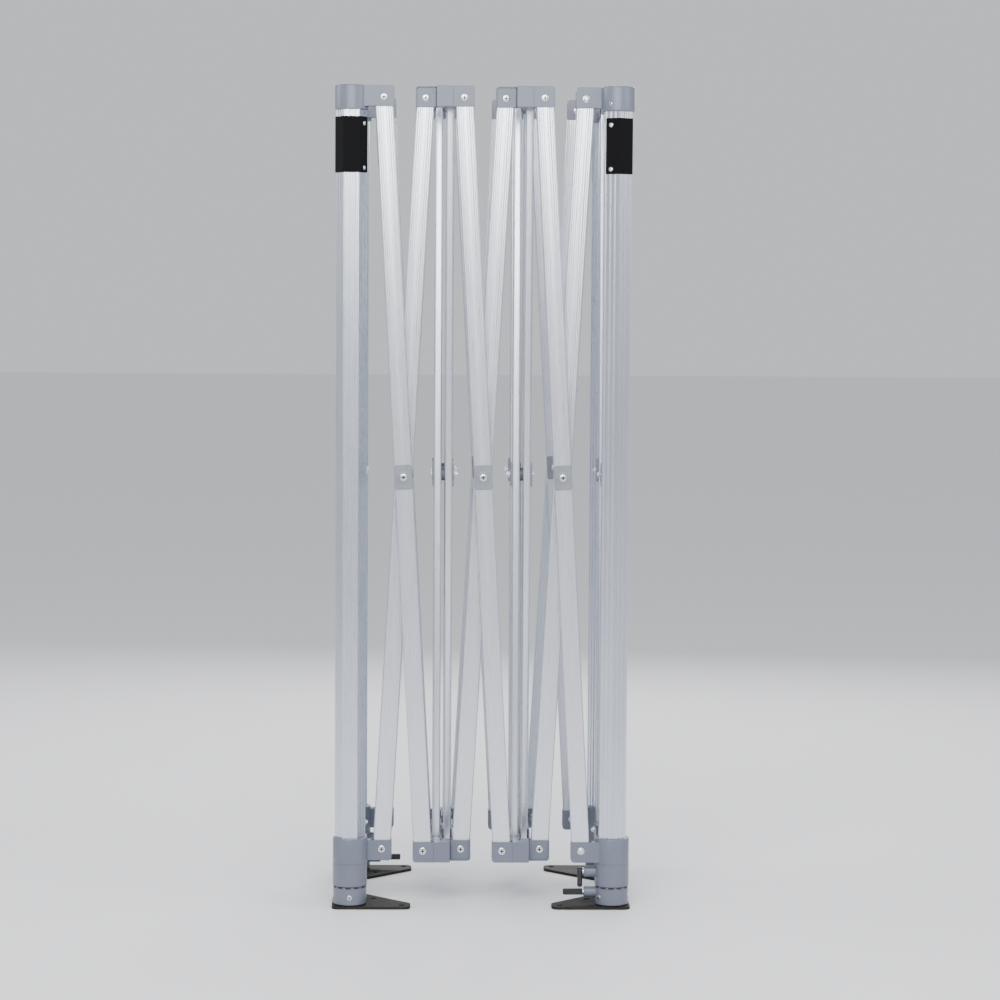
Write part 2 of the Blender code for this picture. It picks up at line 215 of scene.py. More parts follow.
def rounded(corners, radii, steps=6):
    """A polygon whose corners are arcs: each arc's centre lies on the corner's bisector, radius / sin(half
    the corner's angle) away, and the arc sweeps the angle between the two edges' normals."""
    corners = np.asarray(corners, float)
    points = []
    neighbours = np.roll(corners, 1, 0), np.roll(corners, -1, 0)
    for here, back, ahead, radius in zip(corners, *neighbours, radii):
        if radius == 0:
            points.append(here[None])
            continue
        a = (back - here) / np.linalg.norm(back - here)
        b = (ahead - here) / np.linalg.norm(ahead - here)
        half = np.arccos(np.clip(a @ b, -1, 1)) / 2
        bisector = (a + b) / np.linalg.norm(a + b)
        centre = here + bisector * radius / np.sin(half)
        middle = np.arctan2(-bisector[1], -bisector[0])
        way = np.sign(a[0] * b[1] - a[1] * b[0])
        sweep = way * np.linspace(1, -1, steps) * (np.pi / 2 - half)
        arc = centre + radius * np.column_stack([np.cos(middle - sweep), np.sin(middle - sweep)])
        first_near = np.linalg.norm(arc[0] - back) < np.linalg.norm(arc[-1] - back)
        points.append(arc if first_near else arc[::-1])
    return np.concatenate(points)


def slab(low_corner, high_corner, edge=0.0006):
    (x0, y0, z0), (x1, y1, z1) = low_corner, high_corner
    return plate([(x0, y0), (x1, y0), (x1, y1), (x0, y1)], z0, z1, edge)


def upright(outline, near, far, edge=0.0006):
    """A plate whose outline stands in X and Z, from near to far along Y."""
    return moved(plate(outline, -far, -near, edge), STAND)


def lathe(profile, sides=40):
    """Points (radius, z) turned round Z. The profile runs upwards on the outside, and its ends close."""
    profile = np.asarray(profile, float)
    angle = np.linspace(0, 2 * np.pi, sides, endpoint=False)
    radius, z = profile[:, :1], np.repeat(profile[:, 1:], sides, axis=1)
    return rings(np.stack([radius * np.cos(angle), radius * np.sin(angle), z], axis=-1))


def along(shape, position, direction):
    """A shape made along +Z, stood at position so that its +Z points along direction."""
    z = np.asarray(direction, float) / np.linalg.norm(direction)
    side = np.cross([0, 0, 1.0], z)
    x = side / np.linalg.norm(side) if np.linalg.norm(side) > 1e-6 else np.array([1.0, 0, 0])
    matrix = np.eye(4)
    matrix[:3, :3] = np.column_stack([x, np.cross(z, x), z])
    matrix[:3, 3] = position
    return moved(shape, matrix)


def hexagon(flats, per_side=1, groove=0.0):
    """A hexagon with corners at +X and -X. Each side may have three shallow flutes, cut in by
    groove * sin(3 pi s) squared, where s runs from 0 to 1 along the side."""
    corner = np.radians(60 * np.arange(6))
    start = flats / np.sqrt(3) * np.column_stack([np.cos(corner), np.sin(corner)])
    share = np.arange(per_side) / per_side
    side = start[:, None] + share[None, :, None] * (np.roll(start, -1, 0) - start)[:, None]
    out = np.radians(60 * np.arange(6) + 30)
    depth = groove * np.sin(3 * np.pi * share) ** 2
    side -= depth[None, :, None] * np.column_stack([np.cos(out), np.sin(out)])[:, None]
    return side.reshape(-1, 2)


def tube(outer, inner, bottom, top, edge=0.0004):
    """A hollow bar: one skin that climbs the outer outline, crosses the rim and comes down the inner one.
    The two outlines have the same number of points."""
    levels = [(outer, bottom + edge), (outer, top - edge), (inset(outer, edge), top)]
    levels += [(inner, top), (inner, bottom), (inset(outer, edge), bottom)]
    return skin(np.array([np.column_stack([line, np.full(len(line), z)]) for line, z in levels]), wrap=True)


# %% From shapes to pieces


def piece(name, shapes, finish, body, nodes=(), sharp=35):
    """One object from the shapes, smooth up to the sharp angle, riding on its body."""
    points, faces = joined(shapes)
    mesh = bpy.data.meshes.new(name)
    mesh.from_pydata(points.tolist(), [], faces)
    mesh.update()
    mesh.shade_smooth()
    mesh.set_sharp_from_angle(angle=np.radians(sharp))
    mesh.materials.append(finish)
    made = bpy.data.objects.new(name, mesh)
    bpy.context.scene.collection.objects.link(made)
    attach(made, body)
    if nodes:
        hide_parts(*nodes)
    return made


# %% [markdown]
# ## Finishes
# Drawn aluminium keeps fine lines along the tube, plastic castings have a fine grain, and the feet are
# coated steel. Each finish is a small network of noise, written as sums and products of sockets.

# %% Shader sockets that can be added and multiplied


class Socket:
    """A shader value. Each operator adds one Math node."""

    def __init__(self, finish, output):
        self.finish, self.output = finish, output

    def maths(self, operation, first, second):
        return self.finish.node("ShaderNodeMath", {"operation": operation}, {0: first, 1: second})

    def __add__(self, other):
        return self.maths("ADD", self, other)

    def __mul__(self, other):
        return self.maths("MULTIPLY", self, other)

    def __sub__(self, other):
        return self.maths("SUBTRACT", self, other)

    def __rsub__(self, other):
        return self.maths("SUBTRACT", other, self)

    __radd__, __rmul__ = __add__, __mul__


class Finish:
    """A material with one Principled shader."""

    def __init__(self, name, metallic, coat=0.0):
        self.material = bpy.data.materials.new(name)
        self.material.use_nodes = True
        self.tree = self.material.node_tree
        self.shader = self.tree.nodes["Principled BSDF"]
        self.shader.inputs["Metallic"].default_value = metallic
        self.shader.inputs["Coat Weight"].default_value = coat
        self.place = self.node("ShaderNodeTexCoord", {}, {}, "Object")

    def node(self, kind, settings, sockets, output=0):
        """A node of this kind: its settings first, then the values or links of its sockets."""
        made = self.tree.nodes.new(kind)
        for name, value in settings.items():
            setattr(made, name, value)
        for name, value in sockets.items():
            if isinstance(value, Socket):
                self.tree.links.new(value.output, made.inputs[name])
            else:
                made.inputs[name].default_value = value
        return Socket(self, made.outputs[output])

    def noise(self, per_metre, stretch=(1, 1, 1), detail=2.0):
        where = self.node("ShaderNodeMapping", {}, {"Vector": self.place, "Scale": stretch})
        sockets = {"Vector": where, "Scale": per_metre, "Detail": detail}
        return self.node("ShaderNodeTexNoise", {}, sockets)

    def mix(self, share, first, second):
        settings = {"data_type": "RGBA"}
        return self.node("ShaderNodeMix", settings, {0: share, 6: (*first, 1), 7: (*second, 1)}, 2)

    def bump(self, height, distance, strength=1.0):
        sockets = {"Height": height, "Distance": distance, "Strength": strength}
        return self.node("ShaderNodeBump", {}, sockets)

    def wear(self, colour, roughness, normal):
        for name, value in (("Base Color", colour), ("Roughness", roughness), ("Normal", normal)):
            self.tree.links.new(value.output, self.shader.inputs[name])
        return self.material


# %% Metals


def drawn_aluminium(name, dark, light, roughness):
    """Lines along Z, finer than a millimetre across and a third of a metre long, over a slow mottling."""
    finish = Finish(name, metallic=0.92)
    lines = finish.noise(700, (1, 1, 0.02), 4)
    cloud = finish.noise(14, (1, 1, 0.3))
    scuff = finish.noise(160, (1, 1, 0.2), 3)
    colour = finish.mix(lines * 0.5 + cloud * 0.3 + 0.1, dark, light)
    rough = roughness + lines * 0.06 + scuff * 0.05 - 0.05
    return finish.wear(colour, rough, finish.bump(lines, 0.00003, 0.3))


def bright_zinc(name):
    finish = Finish(name, metallic=1.0)
    spots = finish.noise(900, detail=3)
    colour = finish.mix(spots, (0.66, 0.68, 0.72), (0.86, 0.87, 0.90))
    return finish.wear(colour, spots * 0.2 + 0.17, finish.bump(spots, 0.00004, 0.4))


def coated_steel(name, dark, light):
    """Thick satin coating with an orange-peel surface and patches of dust."""
    finish = Finish(name, metallic=0.0)
    finish.shader.inputs["Specular IOR Level"].default_value = 0.2
    peel = finish.noise(420, detail=2)
    dust = finish.noise(45, detail=6)
    colour = finish.mix(dust * 1.3 - 0.15, dark, light)
    return finish.wear(colour, dust * 0.2 + 0.55, finish.bump(peel, 0.00012, 0.5))


# %% Plastics


def moulded(name, dark, light, roughness, grain=2200, depth=0.00005):
    """Moulded plastic: a fine even grain, and large soft patches where it has been handled."""
    finish = Finish(name, metallic=0.0, coat=0.05)
    fine = finish.noise(grain, detail=2)
    hand = finish.noise(30, (1, 1, 0.6), 4)
    colour = finish.mix(hand, dark, light)
    rough = roughness + hand * 0.16 + fine * 0.06 - 0.11
    return finish.wear(colour, rough, finish.bump(fine, depth, 0.6))


def hook_tape(name):
    """Black hook tape: rows of hooks about a millimetre apart, made by two sets of waves."""
    finish = Finish(name, metallic=0.0)
    rows = finish.node(
        "ShaderNodeTexWave",
        {"wave_type": "BANDS", "bands_direction": "Z"},
        {"Vector": finish.place, "Scale": 260.0, "Distortion": 1.0},
        1,
    )
    fuzz = finish.noise(1600, detail=3)
    finish.shader.inputs["Specular IOR Level"].default_value = 0.15
    colour = finish.mix(fuzz, (0.0012, 0.0012, 0.0016), (0.0050, 0.0050, 0.0060))
    return finish.wear(colour, fuzz * 0.15 + 0.75, finish.bump(rows + fuzz, 0.0003, 0.5))


bar_metal = drawn_aluminium("drawn aluminium, bars", (0.58, 0.605, 0.67), (0.92, 0.945, 1.0), 0.28)
leg_metal = drawn_aluminium("drawn aluminium, legs", (0.44, 0.475, 0.56), (0.84, 0.875, 0.95), 0.27)
inner_metal = drawn_aluminium("drawn aluminium, inner legs", (0.42, 0.44, 0.48), (0.60, 0.62, 0.66), 0.33)
casting = moulded("grey moulding", (0.118, 0.132, 0.175), (0.160, 0.178, 0.228), 0.38)
pad_plastic = moulded("pale grey moulding", (0.185, 0.205, 0.225), (0.240, 0.262, 0.285), 0.50)
plug_plastic = moulded("dark grey plug", (0.05, 0.055, 0.07), (0.09, 0.10, 0.12), 0.48)
grip_black = moulded("black grip", (0.006, 0.006, 0.008), (0.018, 0.018, 0.022), 0.36)
# Painted shade: a near-black finish for inlays that stand in for the shade in screw crosses, in the groove
# under each collar and beside each connector's step.
painted_shade = moulded("shadowed recess", (0.010, 0.011, 0.014), (0.030, 0.032, 0.038), 0.60)
tape = hook_tape("black hook tape")
zinc = bright_zinc("zinc-plated steel")
foot_coat = coated_steel("dark foot coating", (0.010, 0.010, 0.008), (0.030, 0.029, 0.022))
print("finishes:", len(bpy.data.materials))

# %% [markdown]
# ## Screws, nuts and rivets
# Every pivot shows a pan-head screw on the outside and a lock nut on the inside. A head is a dome on a
# polar grid. Its cross is painted shade: a thin dark inlay in the flat top, a twelfth of a millimetre proud
# of it, in place of a cut hollow.

# %% Fasteners


def cross_head(radius=0.0064, height=0.0022, sides=32):
    """A flat top with a round shoulder: z(r) = height * sqrt(1 - 0.6 (r / radius)^4)."""
    shares = np.array([1.0, 1.0, 0.94, 0.85, 0.72, 0.52, 0.28])
    angle = np.linspace(0, 2 * np.pi, sides, endpoint=False)
    across, way = np.meshgrid(shares, angle, indexing="ij")
    z = height * np.sqrt(1 - 0.6 * across**4)
    z[0] = -0.0004
    return rings(np.stack([radius * across * np.cos(way), radius * across * np.sin(way), z], axis=-1))


def cross_shade_inlay(radius=0.0064, height=0.0022):
    """The cross of a screw head as painted shade: a twelve-cornered dark inlay, just proud of the flat top,
    in place of a cut hollow.
    """
    arm, waist = 0.58 * radius, 0.17 * radius
    quarter = np.array([(arm, -waist), (arm, waist), (waist, waist)])
    turns = [quarter @ turn("Z", -90 * k)[:2, :2] for k in range(4)]
    return plate(np.concatenate(turns), 0.3 * height, height + 0.00008, 0.00002)


def washer(radius, thickness):
    half = radius - 0.0003
    return lathe([(half, -0.0002), (radius, 0.0001), (radius, thickness - 0.0002), (half, thickness)], 32)


def lock_nut(flats=0.010, height=0.0055):
    """A hexagon with its nylon collar, over a small washer and round the end of the bolt."""
    body = plate(hexagon(flats), 0.0006, 0.65 * height, 0.0005)
    collar = lathe([(0.0046, 0.6 * height), (0.0046, 0.9 * height), (0.0038, height)], 24)
    end = lathe([(0.0029, 0), (0.0029, height + 0.0010), (0.0022, height + 0.0016)], 20)
    return joined([washer(0.0068, 0.001), body, collar, end])


def rivet(radius=0.0042):
    """A low dome: height = 0.4 radius * cos of the share of the way out."""
    share = np.linspace(1, 0.08, 6)
    profile = np.column_stack([radius * share, 0.4 * radius * np.cos(share * np.pi / 2)])
    return lathe(np.vstack([[radius, -0.0005], profile]), 20)


HEAD, CROSS, NUT, RIVET = cross_head(0.0066), cross_shade_inlay(0.0066), lock_nut(), rivet()
print("screw, nut and rivet faces:", len(HEAD[1]), len(NUT[1]), len(RIVET[1]))

# %% [markdown]
# ## Truss bars
# A bar is a drawn flat tube. Its section is a rounded rectangle with shallow grooves along the two wide
# faces, and a dark plug with rounded corners closes each end.

# %% Bars


def bar_section(width=BAR_WIDTH, thickness=BAR_THICKNESS, corner=0.0032, groove=0.00035):
    """A rounded rectangle. The wide faces move in by groove * sin squared near x = +-4, 8 and 12 mm."""
    w, t = width / 2, thickness / 2
    wide = np.linspace(-w + corner, w - corner, 45)
    off = np.min(np.abs(np.abs(wide)[:, None] - np.array([0.004, 0.008, 0.012])), axis=1)
    cut = groove * np.sin(np.clip(1 - off / 0.0010, 0, 1) * np.pi / 2) ** 2
    arc = np.linspace(0, np.pi / 2, 6)[1:-1]
    sides = []
    for sign in (1, -1):
        face = np.column_stack([-sign * wide, sign * (t - cut)])
        middle = np.array([-sign * (w - corner), sign * (t - corner)])
        bend = np.column_stack([-sign * np.sin(arc), sign * np.cos(arc)]) * corner
        sides += [face, middle + bend]
        edge_x = -sign * w
        sides.append(np.array([(edge_x, sign * (t - corner)), (edge_x, -sign * (t - corner))]))
        middle = np.array([edge_x + sign * corner, -sign * (t - corner)])
        bend = np.column_stack([-sign * np.cos(arc), -sign * np.sin(arc)]) * corner
        sides.append(middle + bend)
    return np.concatenate(sides)


def end_plug():
    """The part of a plug that stands out of the bar, rounded at its two outer corners."""
    w, reach = BAR_WIDTH / 2 - 0.0004, bar_pivots / 2 + BAR_END
    base = bar_pivots / 2 - 0.006
    corners = [(-w, base), (w, base), (w, reach), (-w, reach)]
    t = BAR_THICKNESS / 2 - 0.0004
    return upright(rounded(corners, (0, 0, 0.009, 0.009)), -t, t, 0.0009)


def truss_frame(name):
    degrees, start, _ = TRUSSES[name]
    return shift(*start) @ turn("Z", degrees)


def bar_frame(name, k, side):
    """The bar's own frame: its centre on the crossing, its length along Z, its outside towards -Y."""
    middle = ARM_REACH + k * bay + folded_span / 2
    at = shift(middle, side * BAR_OFFSET, (upper_pivot + lower_pivot) / 2)
    return truss_frame(name) @ at @ turn("Y", side * np.degrees(bar_tilt))


SECTION = bar_section()
metal_end = bar_pivots / 2 + 0.002
BAR = plate(SECTION, -metal_end, metal_end, 0.0005)
PLUG = end_plug()
PLUGS = joined([PLUG, moved(PLUG, turn("Y", 180))])
PAD_OUTLINE = rounded([(-0.0162, -0.023), (0.0162, -0.023), (0.0162, 0.023), (-0.0162, 0.023)], [0.004] * 4)
face = BAR_THICKNESS / 2
PAD = joined([
    upright(PAD_OUTLINE, -face - 0.0030, -face + 0.0002, 0.0009),
    along(washer(0.0125, 0.0009), (0, -face - 0.0028, 0), (0, -1, 0)),
])

for name, (_, _, scissors) in TRUSSES.items():
    for k in range(scissors):
        for which, side in (("outer", -1), ("inner", 1)):
            node = f"{name}_bar_{k + 1}_{which}"
            place = bar_frame(name, k, side)
            piece(f"{node}_metal", [moved(BAR, place)], bar_metal, node, [node])
            piece(f"{node}_plugs", [moved(PLUGS, place)], plug_plastic, node)
            pad = PAD if side < 0 else moved(PAD, turn("Z", 180))
            piece(f"{node}_pad", [moved(pad, place)], pad_plastic, node)
            stand_out = (0, side * (face + 0.0036), 0)
            end = along(HEAD if side < 0 else NUT, stand_out, (0, side, 0))
            piece(f"{node}_bolt", [moved(end, place)], zinc, node)
            if side < 0:
                # Painted shade: the dark cross inlay of the bar's screw head.
                cross = along(CROSS, stand_out, (0, side, 0))
                piece(f"{node}_recess", [moved(cross, place)], painted_shade, node)
        spacer = along(washer(0.013, BAR_SPACING - 0.0006), (0, face + 0.0003, 0), (0, 1, 0))
        outer = f"{name}_bar_{k + 1}_outer"
        piece(f"{outer}_spacer", [moved(spacer, bar_frame(name, k, -1))], plug_plastic, outer)
print("bars done:", sum(truss[2] for truss in TRUSSES.values()) * 2)

# %% [markdown]
# ## Castings
# A connector holds two bars, one in front of the other: the arm for the outer bar stands proud and the arm
# for the inner bar is set back. Each arm is two cheeks and a web that follows their rounded corner, so it
# can be made once and then mirrored, turned to the back, or turned over for the lower castings.

# %% An arm


def arm_outline(start, end):
    """The side view of an arm, seen from outside, with its far upper corner rounded."""
    corners = [(start, -LIP), (end, -LIP), (end, WEB_TOP), (start, WEB_TOP)]
    return rounded(corners, (0, 0.0012, ARM_CORNER, 0), 8)


def arm(start, pivot, side):
    """An arm along +X. Side -1 holds an outer bar, in front of the truss's middle, and 1 an inner bar."""
    end = pivot + ARM_END
    near, far = sorted((0.0, side * ARM_DEPTH))
    outline = arm_outline(start, end)
    root_end, root_low, root_top = pivot - POST_GAP, -LIP + 0.0004, WEB_TOP - 0.001
    root = [(start, root_low), (root_end, root_low), (root_end, root_top), (start, root_top)]
    centre = np.array([end - ARM_CORNER, WEB_TOP - ARM_CORNER])
    angle = np.linspace(0, np.pi / 2, 8)
    bend = np.column_stack([np.cos(angle), np.sin(angle)])
    outside = np.vstack([centre + (ARM_CORNER - 0.0002) * bend, [(start, WEB_TOP - 0.0002)]])
    inside = np.vstack([[(start, WEB_TOP - WEB)], (centre + (ARM_CORNER - WEB) * bend)[::-1]])
    return joined([
        upright(outline, near, near + CHEEK),
        upright(outline, far - CHEEK, far),
        upright(root, near + 0.0004, far - 0.0004),
        upright(np.vstack([outside, inside]), near + 0.0007, far - 0.0007, 0.0002),
    ])


def arm_fasteners(pivot, side):
    """The screw on the arm's outer face and the nut on its inner face."""
    near, far = sorted((0.0, side * ARM_DEPTH))
    return joined([along(HEAD, (pivot, near, 0), (0, -1, 0)), along(NUT, (pivot, far, 0), (0, 1, 0))])


# Painted shade: the dark cross inlay of an arm's screw head.
def arm_shade_inlay(pivot, side):
    return along(CROSS, (pivot, min(0.0, side * ARM_DEPTH), 0), (0, -1, 0))


def frame_line(pivot):
    """The raised rim round the set-back face of a connector: along the far edge and under the web."""
    end, rim = pivot + ARM_END, 0.0022
    corners = [(end - rim, -LIP), (end, -LIP), (end, WEB_TOP), (pivot - 0.02, WEB_TOP)]
    corners += [(pivot - 0.02, WEB_TOP - rim), (end - rim, WEB_TOP - rim)]
    outline = rounded(corners, (0, 0, ARM_CORNER, 0, 0, ARM_CORNER - rim), 8)
    return upright(outline, -0.0032, 0.0004, 0.0005)


# %% Connectors


def step_line():
    """A thin dark strip beside the step between a connector's two arms, in place of its shadow line."""
    near, far, top = -POST - 0.0016, -POST, WEB_TOP - 0.002
    return upright([(near, -LIP), (far, -LIP), (far, top), (near, top)], -0.0006, 0.0004, 0.0001)


def connector(back_arm):
    half = PIVOT_PAIR / 2
    rim = frame_line(half)
    shapes = [
        arm(POST - 0.001, half, -1),
        moved(arm(POST - 0.001, half, 1), TO_LEFT),
        slab((-POST, -ARM_DEPTH, -LIP), (POST, ARM_DEPTH, WEB_TOP), 0.0010),
        moved(rim, TO_LEFT),
    ]
    fixings = [arm_fasteners(half, -1), moved(arm_fasteners(half, 1), TO_LEFT)]
    # Painted shade: the dark cross inlays and the dark strip beside the step.
    crosses = [arm_shade_inlay(half, -1), moved(arm_shade_inlay(half, 1), TO_LEFT), step_line()]
    if back_arm:
        shapes.append(moved(arm(0.0, ARM_REACH, -1), TO_BACK))
        fixings.append(moved(arm_fasteners(ARM_REACH, -1), TO_BACK))
        crosses.append(moved(arm_shade_inlay(ARM_REACH, -1), TO_BACK))
    return joined(shapes), joined(fixings), joined(crosses)


THREE_WAY, STRAIGHT = connector(True), connector(False)
for name, (_, _, scissors) in TRUSSES.items():
    for k in range(1, scissors):
        across = ARM_REACH + k * bay - PIVOT_PAIR / 2
        shape, fixings, crosses = THREE_WAY if scissors == 3 else STRAIGHT
        for level, height, flip in (("top", upper_pivot, np.eye(4)), ("bottom", lower_pivot, FLIP)):
            node = f"{name}_{level}_connector_{k}"
            place = truss_frame(name) @ shift(across, 0, height) @ flip
            piece(f"{node}_moulding", [moved(shape, place)], casting, node, [node])
            piece(f"{node}_fixings", [moved(fixings, place)], zinc, node)
            piece(f"{node}_recess", [moved(crosses, place)], painted_shade, node)
print("connectors done")

# %% [markdown]
# ## Caps and sliders
# Both are sleeves on the leg with two arms. The cap is a closed cup, and the slider is a long open sleeve
# with a ridge round its middle, and a boss on its back that houses the spring of its pull pin.

# %% Sleeves


def sleeve(profile, flats, sides=48):
    """A turned outside over a hexagonal bore: the skin runs up the profile, then down the bore."""
    profile = np.asarray(profile, float)
    angle = np.linspace(0, 2 * np.pi, sides, endpoint=False)
    radius, z = profile[:, :1], np.repeat(profile[:, 1:], sides, axis=1)
    round_part = np.stack([radius * np.cos(angle), radius * np.sin(angle), z], axis=-1)
    bore = hexagon(flats, sides // 6)
    down = [np.column_stack([bore, np.full(sides, z)]) for z in (profile[-1, 1], profile[0, 1])]
    return skin(np.concatenate([round_part, np.array(down)]), wrap=True)


def boss(radius, start, end):
    """A round boss along +Y with a stepped nose."""
    profile = [(radius, start), (radius, end - 0.0012), (radius - 0.0012, end), (0.0042, end)]
    return along(lathe(profile, 36), (0, 0, 0), (0, 1, 0))


def pull_pin(end, lever_down):
    """(metal, grip) of a pull pin along +Y: a shiny collar and stem, and a black lever across its end."""
    profile = [(0.0062, end), (0.0068, end + 0.0004), (0.0068, end + 0.0024)]
    profile += [(0.0045, end + 0.003), (0.0035, end + 0.003), (0.0035, end + 0.007)]
    metal = lathe(profile, 28)
    width = 0.0052
    corners = [(-width, -0.030), (width, -0.030), (width, 0.0075), (-width, 0.0075)]
    outline = rounded(corners, [0.0048] * 4, 8)
    lever = upright(outline, end + 0.0030, end + 0.0125, 0.0020)
    if not lever_down:
        near, far = end + 0.0028, end + 0.0400
        corners = [(-0.0048, near), (0.0048, near), (0.0048, far), (-0.0048, far)]
        lever = plate(rounded(corners, (0.001, 0.001, 0.0044, 0.0044), 8), -0.0056, 0.0056, 0.0014)
    return along(metal, (0, 0, 0), (0, 1, 0)), lever


CAP_LOW = CAP_HEAD - 0.046
cup_side = [(0.0300, CAP_LOW), (0.0315, CAP_LOW + 0.0015), (0.0315, CAP_HEAD - 0.0035)]
cup_side += [(0.0306, CAP_HEAD - 0.0012), (0.0290, CAP_HEAD - 0.0002)]
lid = [(0.0296, CAP_HEAD - 0.004), (0.0296, CAP_HEAD - 0.0004), (0.0270, CAP_HEAD), (0.0040, CAP_HEAD)]
cup = joined([sleeve(cup_side, LEG_FLATS + SLEEVE_PLAY), lathe(lid, 48)])
one_arm = arm(0.019, ARM_REACH, -1)
cap_shape = joined([cup, one_arm, moved(one_arm, TO_BACK)])
small_size = (0.0034, 0.0014)
small_at, small_way = (-0.0270, 0.0160, CAP_LOW + 0.013), (-0.86, 0.51, 0)
small_screw = along(cross_head(*small_size), small_at, small_way)
small_cross = along(cross_shade_inlay(*small_size), small_at, small_way)
one_fixing, one_cross = arm_fasteners(ARM_REACH, -1), arm_shade_inlay(ARM_REACH, -1)
cap_fixings = joined([one_fixing, moved(one_fixing, TO_BACK), small_screw])
cap_crosses = joined([one_cross, moved(one_cross, TO_BACK), small_cross])

slider_low = SLIDER_HEAD - 0.092
ridge = SLIDER_HEAD - 0.049
slider_side = [(0.0312, slider_low), (0.0325, slider_low + 0.0013), (0.0325, ridge - 0.0012)]
slider_side += [(0.0319, ridge - 0.0008), (0.0319, ridge + 0.0006), (0.0325, ridge + 0.0010)]
slider_side += [(0.0325, SLIDER_HEAD - 0.0022), (0.0318, SLIDER_HEAD - 0.0006), (0.0306, SLIDER_HEAD)]
slider_sleeve = sleeve(slider_side, LEG_FLATS + SLEEVE_PLAY)
round_boss = boss(BOSS_RADIUS, BOSS_START, BOSS_END)
one_arm = moved(arm(0.020, ARM_REACH, 1), UPSIDE_DOWN)
boss_at = shift(0, 0, slider_low + 0.026)
slider_shape = joined([slider_sleeve, one_arm, moved(one_arm, TO_BACK), moved(round_boss, boss_at)])
one_fixing = moved(arm_fasteners(ARM_REACH, 1), UPSIDE_DOWN)
slider_metal, slider_grip = pull_pin(BOSS_END, True)
slider_fixings = joined([one_fixing, moved(one_fixing, TO_BACK), moved(slider_metal, boss_at)])
one_cross = moved(arm_shade_inlay(ARM_REACH, 1), UPSIDE_DOWN)
slider_crosses = joined([one_cross, moved(one_cross, TO_BACK)])

# %% [markdown]
# ## Legs, collars and feet
# The outer leg is a drawn hexagon with three flutes on each side. Its collar carries the pin that locks the
# inner leg, and the inner leg stands on a triangular plate with holes for ground pegs.

# %% Legs
leg_top = high[2] - 0.0046
collar_low = float(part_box("front_left_leg")[0][2])
collar_top = collar_low + 0.0345
per_side, flute, wall = 24, 0.0007, 0.002
fluted, bore = hexagon(LEG_FLATS, per_side, flute), hexagon(LEG_FLATS - 2 * wall, per_side)
outer_leg = tube(fluted, bore, collar_low + 0.002, leg_top)
collar_bore = LEG_FLATS - COLLAR_PRESS
collar_side = [(0.0303, collar_low), (0.0315, collar_low + 0.0012)]
collar_side += [(0.0315, collar_top - 0.0036), (0.0308, collar_top - 0.0030)]
collar = sleeve(collar_side, collar_bore)
# Painted shade: a dark sleeve in the groove under the collar's teeth, where the gap lies in shade.
shade_ring = sleeve([(0.0302, collar_top - 0.0034), (0.0302, collar_top - 0.0001)], collar_bore)
tooth = slab((0.0285, -0.0026, collar_top - 0.0034), (0.0313, 0.0026, collar_top - 0.0002))
teeth = [moved(tooth, turn("Z", angle)) for angle in range(10, 370, 30)]
collar_boss_at = shift(0, 0, collar_low + 0.022)
collar_shape = joined([collar, *teeth, moved(round_boss, collar_boss_at)])
collar_metal, collar_grip = pull_pin(BOSS_END, False)
screw_size, screw_height = (0.0044, 0.0016), collar_low + 0.015
collar_screws = [((0, -0.0312, screw_height), (0, -1, 0))]
collar_screws.append(((-0.0190, 0.0247, screw_height), (-0.61, 0.79, 0)))
collar_heads = [along(cross_head(*screw_size), spot, way) for spot, way in collar_screws]
collar_marks = [along(cross_shade_inlay(*screw_size), spot, way) for spot, way in collar_screws]
collar_crosses = joined([*collar_marks, shade_ring])
collar_fixings = joined([moved(collar_metal, collar_boss_at), *collar_heads])

# %% Hook tape round the top of each leg


def tape_wrap(flats, degrees_from, sides, top, length, thickness=0.0016, back=0.004):
    """A band along the hexagon's sides: the corners' path, and the same path moved out by the thickness."""
    corner = np.radians(degrees_from + 60 * np.arange(sides + 1))
    line = np.column_stack([np.cos(corner), np.sin(corner)])
    inner = (flats + 0.0006) / np.sqrt(3) * line
    outer = (flats + 0.0006 + 2 * thickness) / np.sqrt(3) * line
    for path in (inner, outer):
        for tip, beside in ((0, 1), (-1, -2)):
            way = path[beside] - path[tip]
            path[tip] += way / np.linalg.norm(way) * back
    return plate(np.vstack([outer, inner[::-1]]), top - length, top, 0.0004)


TAPE_TOP, TAPE_LENGTH = high[2] - 0.059, 0.104
wrap = tape_wrap(LEG_FLATS, 120, 4, TAPE_TOP, TAPE_LENGTH)
rivets = []
for degrees in (150, 330):
    out = np.array([np.cos(np.radians(degrees)), np.sin(np.radians(degrees)), 0])
    aside = 0.0015 if degrees == 330 else -0.0015
    sideways = np.array([-out[1], out[0], 0]) * aside
    for height in (TAPE_TOP - 0.013, TAPE_TOP - TAPE_LENGTH + 0.009):
        spot = out * (LEG_FLATS / 2 + 0.0018) + sideways + [0, 0, height]
        rivets.append(along(RIVET, spot, out))
tape_rivets = joined(rivets)

# %% Feet


